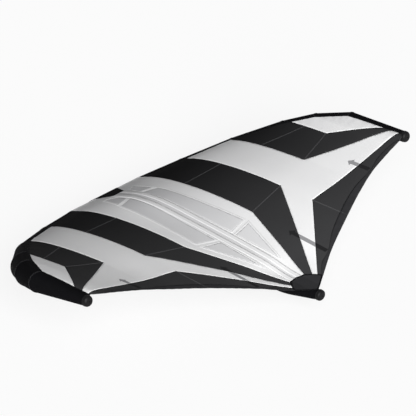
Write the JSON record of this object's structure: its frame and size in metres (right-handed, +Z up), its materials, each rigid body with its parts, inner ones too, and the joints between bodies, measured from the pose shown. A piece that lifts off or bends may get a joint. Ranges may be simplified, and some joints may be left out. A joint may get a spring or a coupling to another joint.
{
  "type": "wingfoil wing",
  "caption": "Inflatable hand-held wing for wing foiling: bent leading edge tube, centre strut with grip handles, panelled canopy with windows.",
  "frame": {"origin": "on the ground under the middle of the wing's box", "axes": "+X to starboard along the span, +Y forward to the leading edge, +Z up; the wing lies canopy up on its leading edge and rear handle"},
  "size_m": [2.8992, 1.9174, 0.5328],
  "materials": {
    "black_dacron": "matt black woven polyester sleeve cloth",
    "dark_ripstop": "charcoal ripstop canopy cloth",
    "pale_ripstop": "pale ripstop canopy cloth",
    "window_film": "clear flexible film laminated with a scrim",
    "batten_fibreglass": "pultruded glass fibre batten",
    "bladder_film": "translucent polyurethane film",
    "moulded_nylon": "black moulded nylon",
    "eva_foam": "closed cell foam, matt",
    "webbing": "black polyester webbing",
    "handle_tube": "satin black composite tube",
    "hose_rubber": "black rubber",
    "seam_tape": "grey strip of sailcloth"
  },
  "bodies": {
    "airframe": {"air_hose": "hose_rubber", "batten_inner_left": "batten_fibreglass", "batten_inner_right": "batten_fibreglass", "batten_outer_left": "batten_fibreglass", "batten_outer_right": "batten_fibreglass", "batten_pocket_inner_left": "black_dacron", "batten_pocket_inner_right": "black_dacron", "batten_pocket_outer_left": "black_dacron", "batten_pocket_outer_right": "black_dacron", "canopy_centre_left": "pale_ripstop", "canopy_centre_right": "pale_ripstop", "canopy_inner_band_left": "dark_ripstop", "canopy_inner_band_right": "dark_ripstop", "canopy_main_left": "pale_ripstop", "canopy_main_right": "pale_ripstop", "canopy_outer_band_left": "dark_ripstop", "canopy_outer_band_right": "dark_ripstop", "canopy_tip_left": "pale_ripstop", "canopy_tip_right": "pale_ripstop", "canopy_trailing_left": "dark_ripstop", "canopy_trailing_right": "dark_ripstop", "front_handle_bar": "handle_tube", "front_handle_grip": "eva_foam", "front_handle_saddle": "moulded_nylon", "hose_fitting_le": "moulded_nylon", "hose_fitting_strut": "moulded_nylon", "le_bladder": "bladder_film", "le_sleeve_centre": "black_dacron", "le_sleeve_inner_left": "black_dacron", "le_sleeve_inner_right": "black_dacron", "le_sleeve_middle_left": "black_dacron", "le_sleeve_middle_right": "black_dacron", "le_sleeve_outer_left": "black_dacron", "le_sleeve_outer_right": "black_dacron", "le_tip_cap_left": "moulded_nylon", "le_tip_cap_right": "moulded_nylon", "le_zip": "webbing", "leash_loop": "webbing", "nose_handle": "webbing", "nose_patch": "black_dacron", "rear_handle_bar": "handle_tube", "rear_handle_grip": "eva_foam", "rear_handle_saddle": "moulded_nylon", "strut_bladder": "bladder_film", "strut_end_cap": "moulded_nylon", "strut_sleeve": "black_dacron", "strut_strip": "seam_tape", "tail_patch": "black_dacron", "trailing_band_left": "black_dacron", "trailing_band_right": "black_dacron", "valve_body": "moulded_nylon", "window_front_left": "window_film", "window_front_right": "window_film", "window_middle_left": "window_film", "window_middle_right": "window_film", "window_rear_left": "window_film", "window_rear_right": "window_film"},
    "valve_cap": {"valve_cap": "hose_rubber"},
    "valve_pin": {"valve_pin": "hose_rubber"},
    "zip_slider": {"zip_slider": "moulded_nylon"}
  },
  "joints": [
    {"name": "valve_cap_hinge", "type": "hinge", "parent": "airframe", "child": "valve_cap", "pos_m": [0.17, 0.73068, 0.11404], "axis": [-1, 0, 0], "range_deg": [0, 150]},
    {"name": "valve_pin_slide", "type": "slide", "parent": "airframe", "child": "valve_pin", "axis": [0, 1, 0], "range_m": [0, 0.004], "stiffness_N_per_m": 200},
    {"name": "zip_slide", "type": "slide", "parent": "airframe", "child": "zip_slider", "axis": [-1, 0, 0], "range_m": [0, 0.5]}
  ]
}
